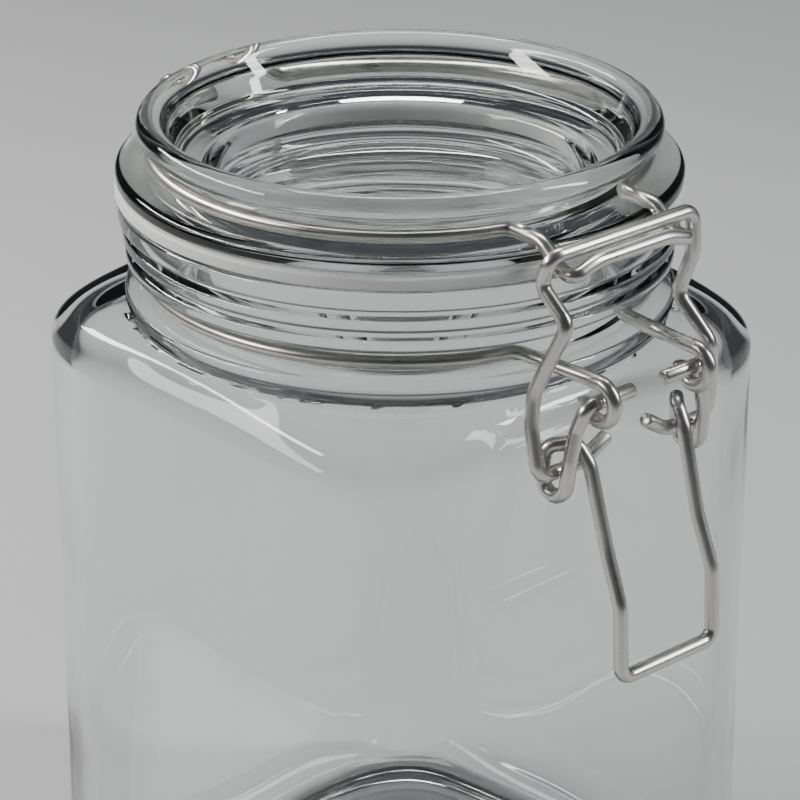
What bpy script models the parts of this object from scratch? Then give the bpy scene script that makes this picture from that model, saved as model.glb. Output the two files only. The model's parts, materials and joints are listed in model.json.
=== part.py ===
"""Clip-top glass canister: jar, lid, gasket and four bent wires. Metres, +Z up, clasp towards -Y."""

import math

import bmesh
import bpy
from mathutils import Vector

MM = 0.001

# ---- driving dimensions (millimetres) ----
HEIGHT = 180.9          # base to the top of the lid's rim bead
FACE = 55.6             # jar axis to the middle of a flat side
CORNER = 26.5           # radius of the jar's upright corners
SHOULDER_Z = 132.5      # where the upright walls start to turn in
SHOULDER_TOP = 142.2    # where the shoulder meets the neck
WALL = 3.5              # wall thickness of the jar
FLOOR = 6.0             # thickness of the jar's floor
FOOT_R = 6.0            # rounding round the underside
NECK_R = 53.0           # outer radius of the neck's rings
RIM_R = 53.8            # outer radius of the rim
BORE_R = 43.0           # radius of the mouth
RIM_Z = 164.9           # top of the jar's rim
WIRE = 2.8              # wire diameter
LID_R = 54.0            # radius of the lid's flange
FLANGE_T = 3.15         # thickness of the lid's flange
LID_NECK_R = 45.2       # groove wall that the lid wire runs round
PLUG_R = 37.4           # outside of the lid's well
PLUG_DROP = 9.6         # depth of the well below the flange
BEAD_R = 47.45          # centre circle of the lid's rim bead
BEAD = 2.5              # radius of the bead
GASKET_IN = 38.0        # hole in the gasket
GASKET_T = 2.6          # gasket thickness
HANDLE_Z = 92.6         # height of the lever's bottom bar

# ---- clearances ----
SEAT = 0.35             # above and below the gasket, and under the lid wire
EYE_GAP = 0.3           # between the hinge bar and the lid wire's eyes
RIM_GAP = 0.1           # between those eyes and the lid's flange
PIN_GAP = 0.9           # between the lever's pins and the neck wire's eyes
LOOP_GAP = 0.6          # between the lever's side loops and the jar's face
FOOT_GAP = 0.5          # between the bail's feet and the backs of the loops
PIN_OUT = 2.8           # lever's pins beyond the fronts of the bail's feet

# ---- places that follow from them ----
GASKET_Z = RIM_Z + SEAT                     # underside of the gasket
FLANGE_Z = GASKET_Z + GASKET_T + SEAT       # underside of the lid's flange
FLANGE_TOP = FLANGE_Z + FLANGE_T
PLUG_Z = FLANGE_Z - PLUG_DROP               # underside of the lid's well
LID_WIRE_R = LID_NECK_R + WIRE / 2 + 0.4    # lid wire's centreline radius
LID_WIRE_Z = FLANGE_TOP + WIRE / 2 + SEAT
NECK_WIRE_R = NECK_R - 4.5                  # neck wire's centreline radius
NECK_WIRE_Z = RIM_Z - 15.5
HINGE_Z = RIM_Z + 0.6
LOOP_Y = FACE + WIRE / 2 + LOOP_GAP         # backs of the lever's side loops
FOOT_Y = LOOP_Y + WIRE + FOOT_GAP           # bail's feet
PIN_R = FOOT_Y + WIRE + PIN_OUT             # lever's pins
PIN_Z = NECK_WIRE_Z - 3.8
FOOT_Z = PIN_Z - 14.0
HANDLE_R = PIN_R + 7.0                      # lever's bottom bar
BAR_R = LID_R + 5.3                         # bail's top bar
BAR_Z = LID_WIRE_Z - 0.6
EYE_R = WIRE + EYE_GAP                      # rear eyes of the lid wire
HINGE_Y = LID_R + WIRE / 2 + EYE_R + RIM_GAP        # rear hinge bar
PIN_EYE_R = WIRE + PIN_GAP                  # front eyes of the neck wire

FACE_STEPS = 7
CORNER_STEPS = 9
SIDES = 8


def clear_scene():
    for ob in list(bpy.data.objects):
        bpy.data.objects.remove(ob, do_unlink=True)


def material(name, colour, rough, metal=0.0, glass=0.0, ior=1.5):
    mat = bpy.data.materials.new(name)
    mat.use_nodes = True
    shader = mat.node_tree.nodes["Principled BSDF"]
    shader.inputs["Base Color"].default_value = (*colour, 1.0)
    shader.inputs["Roughness"].default_value = rough
    shader.inputs["Metallic"].default_value = metal
    shader.inputs["Transmission Weight"].default_value = glass
    shader.inputs["IOR"].default_value = ior
    return mat


def add_node(name, rings, mat, origin=(0.0, 0.0, 0.0), smooth=True):
    """One closed body from rings of points; a ring of one point is a pole or a capped end."""
    bm = bmesh.new()
    made = [[bm.verts.new(Vector(p) * MM - Vector(origin) * MM) for p in ring] for ring in rings]
    for low, high in zip(made, made[1:]):
        count = max(len(low), len(high))
        for i in range(count):
            j = (i + 1) % count
            if len(low) == 1:
                bm.faces.new((low[0], high[j], high[i]))
            elif len(high) == 1:
                bm.faces.new((low[i], low[j], high[0]))
            else:
                bm.faces.new((low[i], low[j], high[j], high[i]))
    if len(made[0]) > 1 and len(made[-1]) > 1:
        for i in range(len(made[0])):
            j = (i + 1) % len(made[0])
            bm.faces.new((made[-1][i], made[-1][j], made[0][j], made[0][i]))
    bmesh.ops.recalc_face_normals(bm, faces=bm.faces)
    mesh = bpy.data.meshes.new(name)
    bm.to_mesh(mesh)
    bm.free()
    for face in mesh.polygons:
        face.use_smooth = smooth
    mesh.materials.append(mat)
    ob = bpy.data.objects.new(name, mesh)
    ob.location = Vector(origin) * MM
    bpy.context.scene.collection.objects.link(ob)
    return ob


# ---- jar ----
def jar_angles():
    """Polar angles for one turn: wide steps on the flat sides, fine ones round the corners."""
    edge = math.atan2(FACE - CORNER, FACE)
    out = []
    for quarter in range(4):
        start = quarter * math.pi / 2
        out += [start - edge + 2 * edge * i / FACE_STEPS for i in range(FACE_STEPS)]
        turn = math.pi / 2 - 2 * edge
        out += [start + edge + turn * i / CORNER_STEPS for i in range(CORNER_STEPS)]
    return out


def square_radius(angle, half, corner):
    """Distance from the axis to a rounded square of the given half width, in one direction."""
    a = abs((angle + math.pi / 4) % (math.pi / 2) - math.pi / 4)
    flat = half - corner
    if math.tan(a) * half <= flat:
        return half / math.cos(a)
    c, s = math.cos(a), math.sin(a)
    along = flat * (c + s)
    return along + math.sqrt(max(corner ** 2 - (flat * (s - c)) ** 2, 0.0))


def jar_ring(angles, z, half=None, corner=None, neck=None, share=0.0):
    """A level ring: a circle of radius neck at share 0, a rounded square at share 1."""
    points = []
    for a in angles:
        square = square_radius(a, half, corner) if half else 0.0
        r = square if neck is None else neck + (square - neck) * share
        points.append((r * math.cos(a), r * math.sin(a), z))
    return points


def shoulder_share(rise):
    """How square the shoulder is at a share of its height: 1 at the walls, 0 at the neck."""
    return max(1 - rise ** 3, 0.0) ** 0.46


def build_jar(mat):
    angles = jar_angles()
    rings = [[(0.0, 0.0, 0.0)]]
    for i in range(5):
        t = math.pi / 2 * i / 4
        inset = FOOT_R * (1 - math.sin(t))
        rings.append(jar_ring(angles, FOOT_R * (1 - math.cos(t)), FACE - inset, CORNER - inset))
    base = NECK_R - 0.8
    for rise in (0.0, 0.25, 0.46, 0.64, 0.79, 0.9, 0.97, 1.0):
        z = SHOULDER_Z + (SHOULDER_TOP - SHOULDER_Z) * rise
        rings.append(jar_ring(angles, z, FACE, CORNER, base, shoulder_share(rise)))
    groove = NECK_WIRE_R - WIRE / 2 - 0.3
    neck = (
        (NECK_R - 1.3, RIM_Z - 22.1), (NECK_R - 1.4, RIM_Z - 20.7), (NECK_R - 0.2, RIM_Z - 20.0),
        (NECK_R - 0.2, RIM_Z - 18.5), (NECK_R - 0.9, RIM_Z - 17.8), (groove, RIM_Z - 17.2),
        (groove, RIM_Z - 13.5), (NECK_R - 1.9, RIM_Z - 12.7), (NECK_R - 0.5, RIM_Z - 11.7),
        (NECK_R - 0.5, RIM_Z - 10.3), (NECK_R - 1.8, RIM_Z - 9.4), (NECK_R - 1.8, RIM_Z - 8.7),
        (NECK_R, RIM_Z - 7.8), (NECK_R, RIM_Z - 6.3), (NECK_R - 1.6, RIM_Z - 5.3),
        (NECK_R - 1.6, RIM_Z - 4.6), (RIM_R, RIM_Z - 3.7), (RIM_R, RIM_Z - 0.9),
        (RIM_R - 0.9, RIM_Z),
        (BORE_R + 0.9, RIM_Z), (BORE_R, RIM_Z - 0.9), (BORE_R, SHOULDER_TOP + 1.5),
    )
    rings += [jar_ring(angles, z, neck=r) for r, z in neck]
    half, corner = FACE - WALL, CORNER - WALL
    top, bottom = SHOULDER_TOP + 1.5 - 4.2, SHOULDER_Z - 4.0
    for rise in (1.0, 0.95, 0.82, 0.64, 0.4, 0.0):
        z = bottom + (top - bottom) * rise
        rings.append(jar_ring(angles, z, half, corner, BORE_R + 0.6, shoulder_share(rise)))
    inner_r = 8.0
    for i in range(5):
        t = math.pi / 2 * (1 - i / 4)
        inset = inner_r * (1 - math.sin(t))
        z = FLOOR + inner_r * (1 - math.cos(t))
        rings.append(jar_ring(angles, z, half - inset, corner - inset))
    rings.append([(0.0, 0.0, FLOOR)])
    return add_node("jar", rings, mat)


# ---- turned pieces ----
def turned(name, profile, steps, mat, origin, poles=True):
    rings = []
    for r, z in profile:
        if r < 1e-6 and poles:
            rings.append([(0.0, 0.0, z)])
        else:
            turn = [2 * math.pi * i / steps for i in range(steps)]
            rings.append([(r * math.cos(a), r * math.sin(a), z) for a in turn])
    return add_node(name, rings, mat, origin)


def build_lid(mat, origin):
    bead_z = HEIGHT - BEAD
    well, floor_top = PLUG_R - 3.2, PLUG_Z + 3.6
    under = [
        (0.0, PLUG_Z), (PLUG_R - 4.0, PLUG_Z), (PLUG_R - 1.2, PLUG_Z + 0.9), (PLUG_R, PLUG_Z + 3.2),
        (PLUG_R, FLANGE_Z), (LID_R - 0.6, FLANGE_Z), (LID_R, FLANGE_Z + 0.6),
        (LID_R, FLANGE_TOP - 1.1), (LID_R - 0.4, FLANGE_TOP - 0.3), (LID_R - 1.3, FLANGE_TOP),
        (LID_NECK_R + 0.5, FLANGE_TOP), (LID_NECK_R, FLANGE_TOP + 0.5), (LID_NECK_R, bead_z - 2.0),
    ]
    bead = []
    for i in range(11):
        t = math.radians(-115 + 260 * i / 10)
        bead.append((BEAD_R + BEAD * math.cos(t), bead_z + BEAD * math.sin(t)))
    over = [
        (LID_NECK_R - 2.3, bead_z - 3.0), (LID_NECK_R - 3.2, FLANGE_TOP + 1.6),
        (LID_NECK_R - 4.8, FLANGE_TOP - 0.1), (well + 1.6, FLANGE_TOP - 0.6),
        (well + 0.4, FLANGE_TOP - 1.5), (well, FLANGE_TOP - 3.2), (well, floor_top + 2.4),
        (well - 0.8, floor_top + 0.7), (well - 2.6, floor_top), (0.0, floor_top),
    ]
    return turned("lid", under + bead + over, 56, mat, origin)


def build_gasket(mat, origin):
    low, high, out = GASKET_Z, GASKET_Z + GASKET_T, LID_R + 0.2
    profile = [
        (GASKET_IN, low), (out - 0.5, low), (out, low + 0.5), (out, high - 0.5),
        (out - 0.5, high), (GASKET_IN, high),
    ]
    return turned("gasket", profile, 56, mat, origin, poles=False)


# ---- wires ----
def rounded(points):
    """Centreline through corner points (x, y, z, bend radius), each corner turned as an arc."""
    out = [Vector(points[0][:3])]
    for before, here, after in zip(points, points[1:], points[2:]):
        p, q, s = (Vector(v[:3]) for v in (before, here, after))
        radius = here[3]
        a, b = (p - q).normalized(), (s - q).normalized()
        turn = math.pi - a.angle(b)
        if turn < math.radians(1.5) or radius <= 0:
            out.append(q)
            continue
        reach = min(radius * math.tan(turn / 2), 0.49 * (p - q).length, 0.49 * (s - q).length)
        radius = reach / math.tan(turn / 2)
        middle = q + (a + b).normalized() * (radius / math.cos(turn / 2))
        start, end = q + a * reach, q + b * reach
        steps = max(1, math.ceil(turn / math.radians(24)))
        for i in range(steps + 1):
            arm = (start - middle).slerp(end - middle, i / steps)
            out.append(middle + arm.normalized() * radius)
    out.append(Vector(points[-1][:3]))
    tidy = [out[0]]
    for p in out[1:]:
        if (p - tidy[-1]).length > 0.12:
            tidy.append(p)
    return tidy


def eye(x, y, z, radius, start, turn, steps):
    """Points round an eye in the upright plane at x; angles in degrees from -Y towards +Z."""
    out = []
    for i in range(steps + 1):
        t = math.radians(start + turn * i / steps)
        out.append(Vector((x, y - radius * math.cos(t), z + radius * math.sin(t))))
    return out


def arc(radius, z, start, end, step=7.5):
    """Points of a level arc; angles in degrees from -Y towards +X."""
    count = max(2, math.ceil(abs(end - start) / step))
    out = []
    for i in range(count + 1):
        t = math.radians(start + (end - start) * i / count)
        out.append(Vector((radius * math.sin(t), -radius * math.cos(t), z)))
    return out


def tube(name, line, mat, origin):
    """Round wire along a centreline, with square-cut ends."""
    line = [Vector(p) for p in line]
    ways = []
    for i, p in enumerate(line):
        back = line[max(i - 1, 0)]
        on = line[min(i + 1, len(line) - 1)]
        ways.append((on - back).normalized())
    side = ways[0].orthogonal().normalized()
    rings = [[line[0]]]
    for p, way in zip(line, ways):
        side = (side - way * side.dot(way)).normalized()
        other = way.cross(side)
        ring = []
        for i in range(SIDES):
            t = 2 * math.pi * (i + 0.5) / SIDES
            ring.append(p + (side * math.cos(t) + other * math.sin(t)) * (WIRE / 2))
        rings.append(ring)
    rings.append([line[-1]])
    return add_node(name, rings, mat, origin)


def mirror(line):
    return [Vector((-p[0], p[1], p[2])) for p in reversed(line)]


def build_neck_wire(mat):
    z, r = NECK_WIRE_Z, NECK_WIRE_R
    half_gap = 13.4
    front = math.degrees(math.asin(half_gap / r))
    rear = 180 - math.degrees(math.asin(13.0 / r))
    ring = arc(r, z, front + 6.0, rear - 6.0)
    left, right = ring[0], ring[-1]
    tip = eye(12.2, -PIN_R, PIN_Z, PIN_EYE_R, -176, 266, 13)
    arm = rounded([
        (*tip[-1], 0), (12.3, -(PIN_R - 4.5), z - 0.1, 3), (half_gap, -46.2, z, 3.2), (*left, 0),
    ])
    back = rounded([
        (*right, 0), (13.2, 46.5, z, 3.2), (13.0, HINGE_Y, z, 3.2), (13.0, HINGE_Y, HINGE_Z, 2.6),
        (0.0, HINGE_Y, HINGE_Z, 0),
    ])
    half = tip[:-1] + arm + ring[1:-1] + back
    return tube("neck_wire", half + mirror(half)[1:], mat, (0.0, 0.0, 0.0))


def build_lid_wire(mat, origin):
    z, r = LID_WIRE_Z, LID_WIRE_R
    front = math.degrees(math.asin(14.0 / r))
    rear = 180 - math.degrees(math.asin(8.0 / r))
    ring = arc(r, z, front + 6.0, rear - 6.0)
    left, right = ring[0], ring[-1]
    out, low = BAR_R + WIRE - 0.2, BAR_Z - WIRE + 0.6
    nose = rounded([
        (0.0, -out, low, 0), (9.0, -out, low, 12),
        (14.3, -out, low - 1.7, 2.6), (14.4, -(BAR_R - 0.4), low - 1.7, 4),
        (14.2, -(LID_R - 0.8), z - 0.2, 5), (14.0, -44.8, z, 3.2), (*left, 0),
    ])
    drop = HINGE_Y + EYE_R
    tip = eye(8.0, HINGE_Y, HINGE_Z, EYE_R, 180, 262, 12)
    back = rounded([
        (*right, 0), (8.0, 46.2, z, 3.2), (8.0, drop, z, 3.0), (8.0, drop, HINGE_Z, 0),
    ])
    half = nose[:-1] + ring[:-1] + back[:-1] + tip
    return tube("lid_wire", mirror(half) + half[1:], mat, origin)


def build_lever(mat, origin):
    front = FOOT_Y + WIRE + 0.7

    def side(s):
        return rounded([
            (s * 3.9, -PIN_R, PIN_Z, 0), (s * 15.4, -PIN_R, PIN_Z, 2.4),
            (s * 16.0, -(PIN_R - 1.8), PIN_Z - 5.0, 3), (s * 17.3, -(PIN_R - 2.1), FOOT_Z + 2.9, 6),
            (s * 17.3, -(PIN_R - 2.9), FOOT_Z - 3.2, 3), (s * 17.3, -(FOOT_Y + 0.1), FOOT_Z - 5.0, 2.2),
            (s * 17.3, -(LOOP_Y + 0.5), FOOT_Z - 4.2, 2.4), (s * 17.2, -LOOP_Y, FOOT_Z - 0.1, 3),
            (s * 16.9, -(LOOP_Y + 0.2), FOOT_Z + 4.0, 2.4), (s * 13.0, -(FOOT_Y + 0.7), FOOT_Z + 4.8, 2.6),
            (s * 12.2, -front, FOOT_Z + 1.0, 5), (s * 11.8, -(front + 4.4), FOOT_Z - 14.4, 20),
            (s * 12.0, -(HANDLE_R - 0.6), HANDLE_Z + 14.4, 8), (s * 12.0, -HANDLE_R, HANDLE_Z, 2.6),
            (0.0, -HANDLE_R, HANDLE_Z, 0),
        ])
    return tube("lever", side(-1) + side(1)[::-1][1:], mat, origin)


def build_bail(mat, origin):
    foot = -FOOT_Y
    top = BAR_Z
    near = rounded([
        (-4.9, foot - 0.6, FOOT_Z + 3.8, 0), (-10.8, foot, FOOT_Z, 6), (-21.7, foot, FOOT_Z, 2.6),
        (-21.4, foot + 2.3, FOOT_Z + 9.5, 8), (-20.4, foot + 2.7, FOOT_Z + 15.5, 8),
        (-17.9, -(BAR_R + 4.6), top - 11.4, 2.6), (-17.8, -(BAR_R - 2.5), top - 5.8, 2.6),
        (-17.9, -BAR_R, top, 2.4), (0.0, -BAR_R, top, 0),
    ])
    far = rounded([
        (4.9, foot - 0.6, FOOT_Z + 3.8, 0), (10.8, foot, FOOT_Z, 6), (21.7, foot, FOOT_Z - 0.6, 2.6),
        (21.0, foot - 1.4, FOOT_Z + 6.4, 8), (18.3, foot - 3.8, top - 24.6, 4),
        (17.8, -(BAR_R - 3.0), top - 17.0, 3.4), (18.0, -(BAR_R + 0.6), top - 8.0, 8),
        (17.9, -BAR_R, top, 2.4), (0.0, -BAR_R, top, 0),
    ])
    return tube("bail", near + far[::-1][1:], mat, origin)


def main():
    clear_scene()
    bpy.context.scene.unit_settings.system = "METRIC"
    glass = material("glass", (0.96, 0.98, 0.97), 0.02, glass=1.0, ior=1.5)
    rubber = material("silicone", (0.86, 0.87, 0.85), 0.45)
    steel = material("brushed_steel", (0.62, 0.61, 0.59), 0.32, metal=1.0)
    hinge = (0.0, HINGE_Y, HINGE_Z)
    build_jar(glass)
    build_neck_wire(steel)
    build_lid(glass, hinge)
    build_gasket(rubber, hinge)
    build_lid_wire(steel, hinge)
    build_lever(steel, (0.0, -PIN_R, PIN_Z))
    build_bail(steel, (0.0, -FOOT_Y, FOOT_Z))


main()
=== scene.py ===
"""Looks of a clip-top glass canister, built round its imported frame. Lengths here are in millimetres."""

import json
import math

import bmesh
import bpy
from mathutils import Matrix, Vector, noise


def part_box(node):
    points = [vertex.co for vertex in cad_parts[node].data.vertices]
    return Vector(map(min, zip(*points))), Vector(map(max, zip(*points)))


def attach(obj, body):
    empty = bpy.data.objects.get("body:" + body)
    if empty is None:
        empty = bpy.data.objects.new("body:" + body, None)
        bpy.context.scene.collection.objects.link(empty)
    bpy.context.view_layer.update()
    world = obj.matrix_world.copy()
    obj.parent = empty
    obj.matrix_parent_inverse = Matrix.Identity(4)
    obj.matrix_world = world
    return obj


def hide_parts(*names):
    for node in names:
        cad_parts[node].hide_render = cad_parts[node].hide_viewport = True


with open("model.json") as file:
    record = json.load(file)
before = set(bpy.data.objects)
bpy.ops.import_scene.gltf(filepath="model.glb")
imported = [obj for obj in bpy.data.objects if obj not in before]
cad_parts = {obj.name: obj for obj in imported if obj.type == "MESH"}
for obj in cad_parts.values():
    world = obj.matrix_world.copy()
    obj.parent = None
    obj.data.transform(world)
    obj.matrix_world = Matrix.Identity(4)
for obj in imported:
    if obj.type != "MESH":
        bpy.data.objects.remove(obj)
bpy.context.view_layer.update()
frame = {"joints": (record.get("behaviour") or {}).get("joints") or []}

MM = 0.001


def node_box(node):
    low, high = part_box(node)
    return low / MM, high / MM


def joint_point(name):
    return next(Vector(j["pos_m"]) / MM for j in frame["joints"] if j["name"] == name)


# ---- places taken from the frame ----
JAR_HIGH = node_box("jar")[1]
LID_LOW, LID_HIGH = node_box("lid")
GASKET_LOW, GASKET_HIGH = node_box("gasket")
HINGE = joint_point("lid_hinge")
PIN = joint_point("lever_pivot")
FOOT = joint_point("bail_pivot")
FACE = JAR_HIGH.x                   # axis to the middle of a side
RIM_Z = JAR_HIGH.z
LID_R = LID_HIGH.x
HEIGHT = LID_HIGH.z
PLUG_Z = LID_LOW.z

# ---- the jar's other sizes ----
SQUARENESS = 4.75                   # power of the body's rounded-square outline
SHOULDER_Z = 132.5                  # where the walls start to turn in
SHOULDER_TOP = 142.2                # where the shoulder meets the neck
WALL = 3.5
FLOOR = 6.0
HEEL_R = 6.0                        # rounding round the underside
PUSH_UP = 1.4                       # hollow under the base
NECK_R = 53.0
RIM_R = 53.8
BORE_R = 43.0
INNER_HEEL_R = 9.0                  # rounding round the inside of the floor
SKIN_WAVE = 0.25                    # unevenness of the outside, at most
INSIDE_WAVE = 0.9                   # unevenness of the inside, at most

# ---- the lid's other sizes ----
FLANGE_Z = LID_HIGH.z - 12.7        # underside of the flange
FLANGE_TOP = LID_HIGH.z - 9.55
LID_NECK_R = 45.2                   # groove that the lid wire runs round
PLUG_R = 37.4
BEAD_R = 47.45
BEAD = 2.5

# ---- the wires ----
WIRE = 2.8
EYE_R = 3.1                         # rear eyes of the lid wire
PIN_EYE_R = 3.7                     # front eyes of the neck wire
LID_WIRE_R = 47.0
LID_WIRE_Z = LID_HIGH.z - 7.8
NECK_WIRE_R = 48.5
NECK_WIRE_Z = RIM_Z - 15.5
BAR_R = 59.3                        # bail's top bar
BAR_Z = LID_HIGH.z - 8.4
HANDLE_R = 73.5                     # lever's bottom bar
HANDLE_Z = 92.6
BEND_STEP = 8.0                     # degrees between points round a bend
HINGE_HALF = 13.0                   # half the width of the rear crossbar
REAR_EYE_X = 8.0                    # where the lid wire's eyes turn on it
ARM_X = 13.4                        # where the neck wire leaves its groove
NOSE_X = 14.0                       # where the lid wire leaves its groove
RING_TURN = 6.0                     # degrees that a ring's bends take up at each end
WIRE_SIDES = 24
TURN_STEPS = 224                    # points round the jar and the lid
WALL_RINGS = 30                     # rings up the jar's walls
HEEL_STEPS = 8                      # rings round the jar's heel


# ---- shape helpers ----
def fillet(points, step=BEND_STEP):
    """Line through corner points (x, y, z, bend radius), each corner turned as an arc."""
    out = [Vector(points[0][:3])]
    for before, here, after in zip(points, points[1:], points[2:]):
        p, q, s = (Vector(v[:3]) for v in (before, here, after))
        a, b = (p - q).normalized(), (s - q).normalized()
        turn = math.pi - a.angle(b)
        if turn < math.radians(1.5) or here[3] <= 0:
            out.append(q)
            continue
        reach = min(here[3] * math.tan(turn / 2), 0.49 * (p - q).length, 0.49 * (s - q).length)
        radius = reach / math.tan(turn / 2)
        middle = q + (a + b).normalized() * (radius / math.cos(turn / 2))
        start, end = q + a * reach, q + b * reach
        steps = max(2, math.ceil(math.degrees(turn) / step))
        for i in range(steps + 1):
            arm = (start - middle).slerp(end - middle, i / steps)
            out.append(middle + arm.normalized() * radius)
    out.append(Vector(points[-1][:3]))
    return spaced(out)


def spaced(line, least=0.05):
    """The line without points that sit on top of each other."""
    out = [line[0]]
    for p in line[1:]:
        if (p - out[-1]).length > least:
            out.append(p)
    return out


def profile(*corners, step=14.0):
    """Points (radius, height) of a section whose corners are (radius, height, rounding)."""
    line = fillet([(r, 0.0, z, bend) for r, z, bend in corners], step)
    return [(p.x, p.z) for p in line]


def turn_angles(steps=TURN_STEPS):
    return [2 * math.pi * i / steps for i in range(steps)]


def circle_ring(r, z, angles):
    return [(r * math.cos(a), r * math.sin(a), z) for a in angles]


def build_piece(name, rings, material, body, node, closed=False):
    """A piece made of rings of points, riding on a body in place of a CAD node."""
    bm = bmesh.new()
    made = [[bm.verts.new(Vector(p) * MM) for p in ring] for ring in rings]
    pairs = list(zip(made, made[1:]))
    if closed:
        pairs.append((made[-1], made[0]))
    for low, high in pairs:
        count = max(len(low), len(high))
        for i in range(count):
            j = (i + 1) % count
            if len(low) == 1:
                bm.faces.new((low[0], high[j], high[i]))
            elif len(high) == 1:
                bm.faces.new((low[i], low[j], high[0]))
            else:
                bm.faces.new((low[i], low[j], high[j], high[i]))
    bmesh.ops.recalc_face_normals(bm, faces=bm.faces)
    mesh = bpy.data.meshes.new(name)
    bm.to_mesh(mesh)
    bm.free()
    mesh.polygons.foreach_set("use_smooth", [True] * len(mesh.polygons))
    mesh.materials.append(material)
    piece = bpy.data.objects.new(name, mesh)
    bpy.context.scene.collection.objects.link(piece)
    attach(piece, body)
    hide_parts(node)
    return piece


# ---- materials ----
def new_material(name):
    """A material, its node tree's tools and its shader."""
    mat = bpy.data.materials.new(name)
    mat.use_nodes = True
    tree = mat.node_tree
    return mat, tree.nodes, tree.links, tree.nodes["Principled BSDF"]


def add_noise(nodes, links, where, scale, detail=3.0, rough=0.5):
    tex = nodes.new("ShaderNodeTexNoise")
    tex.inputs["Scale"].default_value = scale
    tex.inputs["Detail"].default_value = detail
    tex.inputs["Roughness"].default_value = rough
    links.new(where, tex.inputs["Vector"])
    return tex.outputs["Fac"]


def add_mix(nodes, links, fac, dark, light):
    """Two colours mixed by a texture, stretched over the texture's usual span."""
    ramp = nodes.new("ShaderNodeValToRGB")
    ramp.color_ramp.elements[0].position = 0.35
    ramp.color_ramp.elements[1].position = 0.65
    ramp.color_ramp.elements[0].color = (*dark, 1.0)
    ramp.color_ramp.elements[1].color = (*light, 1.0)
    links.new(fac, ramp.inputs["Fac"])
    return ramp.outputs["Color"]


def add_range(nodes, links, fac, low, high):
    span = nodes.new("ShaderNodeMapRange")
    span.inputs["From Min"].default_value = 0.3
    span.inputs["From Max"].default_value = 0.7
    span.inputs["To Min"].default_value = low
    span.inputs["To Max"].default_value = high
    links.new(fac, span.inputs["Value"])
    return span.outputs["Result"]


def add_bump(nodes, links, fac, depth_mm, strength, shader):
    bump = nodes.new("ShaderNodeBump")
    bump.inputs["Distance"].default_value = depth_mm * MM
    bump.inputs["Strength"].default_value = strength
    links.new(fac, bump.inputs["Height"])
    links.new(bump.outputs["Normal"], shader.inputs["Normal"])


def object_place(nodes):
    return nodes.new("ShaderNodeTexCoord").outputs["Object"]


def glass_material(name, wave_scale):
    """Clear pressed glass: a trace of colour, faint smears, and the slow waves of the mould."""
    mat, nodes, links, shader = new_material(name)
    place = object_place(nodes)
    tint = add_noise(nodes, links, place, 14.0, 2.0)
    links.new(add_mix(nodes, links, tint, (0.965, 0.975, 0.972), (0.985, 0.992, 0.99)),
              shader.inputs["Base Color"])
    smear = add_noise(nodes, links, place, 55.0, 6.0, 0.6)
    links.new(add_range(nodes, links, smear, 0.0, 0.03), shader.inputs["Roughness"])
    wave = add_noise(nodes, links, place, wave_scale, 1.0)
    add_bump(nodes, links, wave, 1.2, 0.25, shader)
    shader.inputs["Transmission Weight"].default_value = 1.0
    shader.inputs["IOR"].default_value = 1.5
    depth = nodes.new("ShaderNodeVolumeAbsorption")
    depth.inputs["Color"].default_value = (0.70, 0.76, 0.75, 1.0)
    depth.inputs["Density"].default_value = 22.0
    links.new(depth.outputs["Volume"], nodes["Material Output"].inputs["Volume"])
    return mat


def silicone_material():
    """Translucent white silicone with a matt moulded skin."""
    mat, nodes, links, shader = new_material("silicone")
    place = object_place(nodes)
    cloud = add_noise(nodes, links, place, 60.0, 4.0)
    links.new(add_mix(nodes, links, cloud, (0.86, 0.87, 0.85), (0.93, 0.94, 0.92)),
              shader.inputs["Base Color"])
    grain = add_noise(nodes, links, place, 1400.0, 3.0)
    links.new(add_range(nodes, links, grain, 0.34, 0.5), shader.inputs["Roughness"])
    add_bump(nodes, links, grain, 0.05, 0.5, shader)
    shader.inputs["Transmission Weight"].default_value = 0.12
    shader.inputs["IOR"].default_value = 1.41
    shader.inputs["Subsurface Weight"].default_value = 0.4
    shader.inputs["Subsurface Radius"].default_value = (0.003, 0.003, 0.0028)
    return mat


def wire_material():
    """Drawn stainless wire: fine lines along its length, and small dull patches."""
    mat, nodes, links, shader = new_material("drawn_wire")
    line = nodes.new("ShaderNodeAttribute")
    line.attribute_name = "wire_place"
    draw = add_noise(nodes, links, line.outputs["Vector"], 1.0, 3.0)
    patch = add_noise(nodes, links, object_place(nodes), 120.0, 4.0)
    both = nodes.new("ShaderNodeMix")
    both.inputs["Factor"].default_value = 0.5
    links.new(draw, both.inputs["A"])
    links.new(patch, both.inputs["B"])
    mixed = both.outputs["Result"]
    links.new(add_mix(nodes, links, mixed, (0.62, 0.60, 0.57), (0.74, 0.72, 0.69)),
              shader.inputs["Base Color"])
    links.new(add_range(nodes, links, mixed, 0.24, 0.36), shader.inputs["Roughness"])
    add_bump(nodes, links, draw, 0.01, 0.2, shader)
    shader.inputs["Metallic"].default_value = 1.0
    return mat


def floor_material():
    mat, nodes, links, shader = new_material("floor")
    cloud = add_noise(nodes, links, object_place(nodes), 3.0, 2.0)
    links.new(add_mix(nodes, links, cloud, (0.50, 0.503, 0.506), (0.53, 0.533, 0.536)),
              shader.inputs["Base Color"])
    shader.inputs["Roughness"].default_value = 0.6
    return mat


# ---- jar ----
def square_radius(angle, half):
    """Distance from the axis to the rounded-square outline in one direction."""
    c, s = abs(math.cos(angle)), abs(math.sin(angle))
    return half / (c ** SQUARENESS + s ** SQUARENESS) ** (1 / SQUARENESS)


def wave(angle, z, seed, depth):
    """Slow unevenness of pressed glass; never outwards."""
    spot = Vector((1.6 * math.cos(angle), 1.6 * math.sin(angle), z / 38.0 + seed))
    return -depth * (0.5 + 0.5 * noise.noise(spot))


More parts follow.
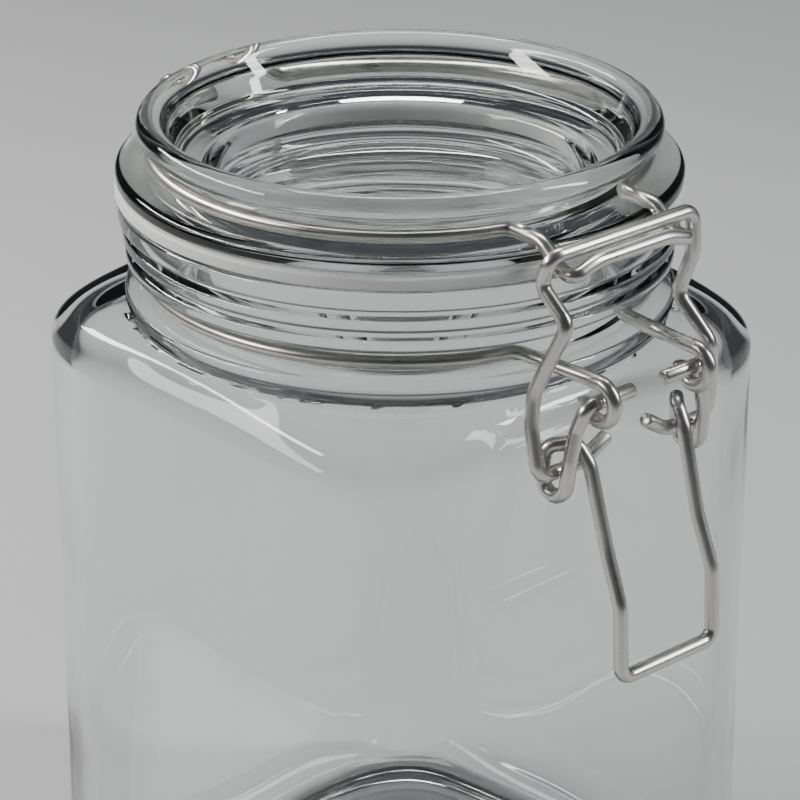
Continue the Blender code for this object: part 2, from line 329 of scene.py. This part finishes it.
def body_ring(z, half, angles, seed, depth, neck=0.0, share=1.0):
    """A level ring: a circle of radius neck at share 0, the rounded square at share 1."""
    out = []
    for a in angles:
        r = neck + (square_radius(a, half) - neck) * share + share * wave(a, z, seed, depth)
        out.append((r * math.cos(a), r * math.sin(a), z))
    return out


def shoulder_rings(bottom, top, half, neck, angles, seed, depth, steps):
    out = []
    for i in range(steps + 1):
        t = math.pi / 2 * i / steps
        rise = math.sin(t) ** (2 / 3)
        share = max(1 - rise ** 3, 0.0) ** 0.46
        z = bottom + (top - bottom) * rise
        out.append(body_ring(z, half, angles, seed, depth, neck, share))
    return out


def build_jar(material):
    angles = turn_angles()
    skin, inside = SKIN_WAVE, INSIDE_WAVE
    rings = [[(0.0, 0.0, PUSH_UP)]]
    rings += [body_ring(PUSH_UP, (FACE - HEEL_R - 5) * k, angles, 0, 0)
              for k in (0.3, 0.6, 0.85, 0.97)]
    rings += [body_ring(z, FACE - HEEL_R - inset, angles, 0, 0)
              for inset, z in ((3.6, 0.9), (2.6, 0.2), (1.6, 0.0))]
    for i in range(HEEL_STEPS + 1):
        t = math.pi / 2 * i / HEEL_STEPS
        rings.append(body_ring(HEEL_R * (1 - math.cos(t)), FACE - HEEL_R * (1 - math.sin(t)),
                               angles, 3, skin * math.sin(t)))
    for i in range(1, WALL_RINGS):
        z = HEEL_R + (SHOULDER_Z - HEEL_R) * i / WALL_RINGS
        rings.append(body_ring(z, FACE, angles, 3, skin))
    rings += shoulder_rings(SHOULDER_Z, SHOULDER_TOP, FACE, NECK_R - 0.8, angles, 3, skin, 16)
    groove = NECK_WIRE_R - WIRE / 2 - 0.3
    lip = profile(
        (NECK_R - 0.8, SHOULDER_TOP, 0), (NECK_R - 1.4, SHOULDER_TOP + 0.4, 0.5),
        (NECK_R - 1.4, 144.3, 0.5), (NECK_R - 0.2, 144.8, 0.5), (NECK_R - 0.2, 146.8, 0.8),
        (groove, 147.6, 0.9), (groove, 151.5, 0.9), (NECK_R - 1.9, 152.1, 0.6),
        (NECK_R - 0.5, 153.0, 0.8), (NECK_R - 0.5, 154.8, 0.8), (NECK_R - 1.8, 155.5, 0.5),
        (NECK_R - 1.8, 156.3, 0.5), (NECK_R, 157.0, 0.8), (NECK_R, 158.8, 0.8),
        (NECK_R - 1.6, 159.6, 0.5), (NECK_R - 1.6, 160.4, 0.5), (RIM_R, 161.1, 0.8),
        (RIM_R, RIM_Z, 1.1), (BORE_R, RIM_Z, 1.2), (BORE_R, SHOULDER_TOP + 1.5, 0),
    )
    rings += [circle_ring(r, z, angles) for r, z in lip]
    half = FACE - WALL
    top, bottom = SHOULDER_TOP - 2.7, SHOULDER_Z - 4.0
    rings += shoulder_rings(bottom, top, half, BORE_R + 0.6, angles, 9, inside, 14)[::-1]
    corner = INNER_HEEL_R
    for i in range(1, WALL_RINGS):
        z = bottom + (FLOOR + corner - bottom) * i / WALL_RINGS
        rings.append(body_ring(z, half, angles, 9, inside))
    for i in range(HEEL_STEPS + 1):
        t = math.pi / 2 * (1 - i / HEEL_STEPS)
        rings.append(body_ring(FLOOR + corner * (1 - math.cos(t)), half - corner * (1 - math.sin(t)),
                               angles, 9, inside * math.sin(t)))
    rings += [body_ring(FLOOR, (half - corner) * k, angles, 0, 0) for k in (0.9, 0.7, 0.45, 0.2)]
    rings.append([(0.0, 0.0, FLOOR)])
    return build_piece("jar_glass", rings, material, "jar_body", "jar")


# ---- lid and gasket ----
def build_lid(material):
    angles = turn_angles()
    bead_z = HEIGHT - BEAD
    well, floor_top = PLUG_R - 3.2, PLUG_Z + 3.6
    section = profile(
        (20.0, PLUG_Z, 0), (PLUG_R - 3.6, PLUG_Z, 3), (PLUG_R, PLUG_Z + 3.2, 3.5),
        (PLUG_R, FLANGE_Z, 1.2), (LID_R, FLANGE_Z, 0.8), (LID_R, FLANGE_TOP, 1.4),
        (LID_NECK_R, FLANGE_TOP, 0.7), (LID_NECK_R, bead_z - 2.2, 0.6),
        (BEAD_R - BEAD * 0.5, bead_z - BEAD * 0.9, 0),
    )
    section += [(BEAD_R + BEAD * math.cos(t), bead_z + BEAD * math.sin(t))
                for t in (math.radians(-105 + 250 * i / 20) for i in range(21))]
    section += profile(
        (BEAD_R - BEAD * 0.9, bead_z + BEAD * 0.3, 0), (LID_NECK_R - 2.0, bead_z - 2.6, 3),
        (LID_NECK_R - 3.4, FLANGE_TOP + 0.4, 2.4), (well + 2.0, FLANGE_TOP - 0.7, 1.2),
        (well, FLANGE_TOP - 2.2, 2.0), (well, floor_top, 3.0), (20.0, floor_top, 0),
    )
    rings = [[(0.0, 0.0, PLUG_Z)], circle_ring(10.0, PLUG_Z, angles)]
    rings += [circle_ring(r, z, angles) for r, z in section]
    rings += [circle_ring(10.0, floor_top, angles), [(0.0, 0.0, floor_top)]]
    return build_piece("lid_glass", rings, material, "lid_body", "lid")


def build_gasket(material):
    low, high, out = GASKET_LOW.z, GASKET_HIGH.z, GASKET_HIGH.x
    section = profile(
        (40.0, low, 0), (out, low, 0.7), (out, high, 0.7), (38.0, high, 0.5), (38.0, low, 0.5),
        (40.0, low, 0),
    )[:-1]
    rings = [circle_ring(r, z, turn_angles()) for r, z in section]
    return build_piece("gasket_ring", rings, material, "lid_body", "gasket", closed=True)


# ---- wires ----
def eye(x, y, z, radius, start, turn):
    """Points round an eye in the upright plane at x; angles in degrees from -Y towards +Z."""
    steps = math.ceil(abs(turn) / BEND_STEP)
    turns = [math.radians(start + turn * i / steps) for i in range(steps + 1)]
    return [Vector((x, y - radius * math.cos(t), z + radius * math.sin(t))) for t in turns]


def arc(radius, z, start, end, step=3.0):
    """Points of a level arc; angles in degrees from -Y towards +X."""
    count = math.ceil(abs(end - start) / step)
    turns = [math.radians(start + (end - start) * i / count) for i in range(count + 1)]
    return [Vector((radius * math.sin(t), -radius * math.cos(t), z)) for t in turns]


def mirrored(line):
    return [Vector((-p[0], p[1], p[2])) for p in reversed(line)]


def build_wire(name, line, material, body, node):
    """Round wire along a centreline, its cut ends slightly dressed."""
    line = spaced([Vector(p) for p in line], 0.15)
    ways = [(on - back).normalized() for back, on in zip([line[0]] + line, line[1:] + [line[-1]])]
    stations = [(line[0], ways[0], WIRE * 0.36), (line[0] + ways[0] * 0.12, ways[0], WIRE * 0.45)]
    stations += [(line[0] + ways[0] * 0.35, ways[0], WIRE / 2)]
    stations += [(p, w, WIRE / 2) for p, w in zip(line[1:-1], ways[1:-1])]
    stations += [(line[-1] - ways[-1] * g, ways[-1], r)
                 for g, r in ((0.35, WIRE / 2), (0.12, WIRE * 0.45), (0.0, WIRE * 0.36))]
    side = ways[0].orthogonal().normalized()
    rings, places, run, last = [[line[0]]], [(0.0, 0.0, 0.0)], 0.0, line[0]
    for p, way, radius in stations:
        side = (side - way * side.dot(way)).normalized()
        other = way.cross(side)
        run, last = run + (p - last).length, p
        ring = []
        for i in range(WIRE_SIDES):
            t = 2 * math.pi * i / WIRE_SIDES
            ring.append(p + (side * math.cos(t) + other * math.sin(t)) * radius)
            places.append((run * 0.05, 4.0 * math.cos(t), 4.0 * math.sin(t)))
        rings.append(ring)
    rings.append([line[-1]])
    places.append((run * 0.05, 0.0, 0.0))
    piece = build_piece(name, rings, material, body, node)
    note = piece.data.attributes.new("wire_place", "FLOAT_VECTOR", "POINT")
    note.data.foreach_set("vector", [c for place in places for c in place])
    return piece


def build_neck_wire(material):
    z, r = NECK_WIRE_Z, NECK_WIRE_R
    front = math.degrees(math.asin(ARM_X / r))
    rear = 180 - math.degrees(math.asin(HINGE_HALF / r))
    ring = arc(r, z, front + RING_TURN, rear - RING_TURN)
    tip = eye(12.2, PIN.y, PIN.z, PIN_EYE_R, -176, 266)
    arm = fillet([
        (*tip[-1], 0), (12.3, PIN.y + 4.5, z - 0.1, 3), (ARM_X, -46.2, z, 3.2), (*ring[0], 0),
    ])
    back = fillet([
        (*ring[-1], 0), (HINGE_HALF + 0.2, 46.5, z, 3.2), (HINGE_HALF, HINGE.y, z, 3.2),
        (HINGE_HALF, HINGE.y, HINGE.z, 2.6), (0.0, HINGE.y, HINGE.z, 0),
    ])
    half = tip[:-1] + arm + ring[1:-1] + back
    return build_wire("neck_wire_bent", half + mirrored(half)[1:], material, "jar_body", "neck_wire")


def build_lid_wire(material):
    z, r = LID_WIRE_Z, LID_WIRE_R
    front = math.degrees(math.asin(NOSE_X / r))
    rear = 180 - math.degrees(math.asin(REAR_EYE_X / r))
    ring = arc(r, z, front + RING_TURN, rear - RING_TURN)
    nose = fillet([
        (0.0, -(BAR_R + 2.6), BAR_Z - 2.2, 0), (9.0, -(BAR_R + 2.6), BAR_Z - 2.2, 12),
        (14.3, -(BAR_R + 2.6), BAR_Z - 3.9, 2.6), (14.4, -(BAR_R - 0.4), BAR_Z - 3.9, 4),
        (14.2, -(LID_R - 0.8), z - 0.2, 5), (NOSE_X, -44.8, z, 3.2), (*ring[0], 0),
    ])
    drop = HINGE.y + EYE_R
    back = fillet([
        (*ring[-1], 0), (REAR_EYE_X, 46.2, z, 3.2), (REAR_EYE_X, drop, z, 3.0),
        (REAR_EYE_X, drop, HINGE.z, 0),
    ])
    half = nose[:-1] + ring[:-1] + back[:-1] + eye(REAR_EYE_X, HINGE.y, HINGE.z, EYE_R, 180, 262)
    return build_wire("lid_wire_bent", mirrored(half) + half[1:], material, "lid_body", "lid_wire")


def build_lever(material):
    pin_r = -PIN.y
    half = fillet([
        (3.9, -pin_r, PIN.z, 0), (15.4, -pin_r, PIN.z, 2.4), (16.0, 1.8 - pin_r, PIN.z - 5.0, 3),
        (17.3, 2.1 - pin_r, 134.5, 6), (17.3, 2.9 - pin_r, 128.4, 3), (17.3, -61.0, 126.6, 2.2),
        (17.3, -58.1, 127.4, 2.4), (17.2, -57.6, 131.5, 3), (16.9, -57.8, 135.6, 2.4),
        (13.0, -61.6, 136.4, 2.6), (12.2, -64.4, 132.6, 5), (11.8, -68.8, 117.2, 20),
        (12.0, -72.9, 107.0, 8), (12.0, -HANDLE_R, HANDLE_Z, 2.6), (0.0, -HANDLE_R, HANDLE_Z, 0),
    ])
    return build_wire("lever_bent", half + mirrored(half)[1:], material, "lever_body", "lever")


def build_bail(material):
    foot, low, top = FOOT.y, FOOT.z, BAR_Z
    near = fillet([
        (-4.9, foot - 0.6, low + 3.8, 0), (-10.8, foot, low, 6), (-21.7, foot, low, 2.6),
        (-21.4, foot + 2.3, low + 9.5, 8), (-20.4, foot + 2.7, low + 15.5, 8),
        (-17.9, foot - 3.0, top - 11.4, 2.6), (-17.8, foot + 4.1, top - 5.8, 2.6),
        (-17.9, -BAR_R, top, 2.4), (0.0, -BAR_R, top, 0),
    ])
    far = fillet([
        (4.9, foot - 0.6, low + 3.8, 0), (10.8, foot, low, 6), (21.7, foot, low - 0.6, 2.6),
        (21.0, foot - 1.4, low + 6.4, 8), (18.3, foot - 3.8, top - 24.6, 4),
        (17.8, foot + 4.6, top - 17.0, 3.4), (18.0, foot + 1.0, top - 8.0, 8),
        (17.9, -BAR_R, top, 2.4), (0.0, -BAR_R, top, 0),
    ])
    return build_wire("bail_bent", near + far[::-1][1:], material, "bail_body", "bail")


# ---- stage, light and camera ----
AZIMUTH, ELEVATION = -42.0, 23.9    # the photograph's viewing angle, in degrees
VIEW_DISTANCE = 684.0
AIM = Vector((0.0, 0.0, 120.5))
LENS = 157.5
FLOOR_HALF = 3000.0                 # half the width of the floor
SKY = (0.85, 0.92, 1.0, 1.0)
SKY_STRENGTH = 0.06


def from_axis(azimuth, elevation, distance, about=AIM):
    """A point at an azimuth from -Y towards +X and an elevation, in degrees."""
    a, e = math.radians(azimuth), math.radians(elevation)
    way = Vector((math.sin(a) * math.cos(e), -math.cos(a) * math.cos(e), math.sin(e)))
    return about + way * distance


def face_point(ob, place, target=AIM):
    ob.location = place * MM
    ob.rotation_euler = (target - place).to_track_quat("-Z", "Y").to_euler()


def add_light(name, azimuth, elevation, distance, width, height, watts, colour=(1.0, 1.0, 1.0)):
    data = bpy.data.lights.new(name, "AREA")
    data.shape = "RECTANGLE"
    data.size, data.size_y = width * MM, height * MM
    data.energy = watts
    data.color = colour
    ob = bpy.data.objects.new(name, data)
    bpy.context.scene.collection.objects.link(ob)
    face_point(ob, from_axis(AZIMUTH + azimuth, elevation, distance))


def build_stage():
    mesh = bpy.data.meshes.new("floor")
    half = FLOOR_HALF * MM
    corners = [(x * half, y * half, 0.0) for x, y in ((-1, -1), (1, -1), (1, 1), (-1, 1))]
    mesh.from_pydata(corners, [], [(0, 1, 2, 3)])
    mesh.materials.append(floor_material())
    floor = bpy.data.objects.new("floor", mesh)
    bpy.context.scene.collection.objects.link(floor)
    world = bpy.data.worlds.new("studio")
    world.use_nodes = True
    sky = world.node_tree.nodes["Background"]
    sky.inputs["Color"].default_value = SKY
    sky.inputs["Strength"].default_value = SKY_STRENGTH
    bpy.context.scene.world = world
    # azimuths here are from the camera's own: negative is the picture's left
    add_light("key", -98, 34, 900, 1150, 110, 12.0, (1.0, 0.99, 0.97))
    add_light("fill", 82, 34, 900, 90, 560, 5.0, (0.95, 0.98, 1.0))
    add_light("top", 175, 68, 950, 560, 160, 4.5)


def build_camera():
    data = bpy.data.cameras.new("camera")
    data.lens, data.sensor_width = LENS, 36.0
    data.clip_start, data.clip_end = 0.01, 20.0
    camera = bpy.data.objects.new("camera", data)
    bpy.context.scene.collection.objects.link(camera)
    face_point(camera, from_axis(AZIMUTH, ELEVATION, VIEW_DISTANCE))
    bpy.context.scene.camera = camera


# ---- the canister ----
build_camera()
build_stage()
body_glass = glass_material("body_glass", 22.0)
lid_glass = glass_material("lid_glass", 30.0)
steel = wire_material()
build_jar(body_glass)
build_neck_wire(steel)
build_lid(lid_glass)
build_gasket(silicone_material())
build_lid_wire(steel)
build_lever(steel)
build_bail(steel)
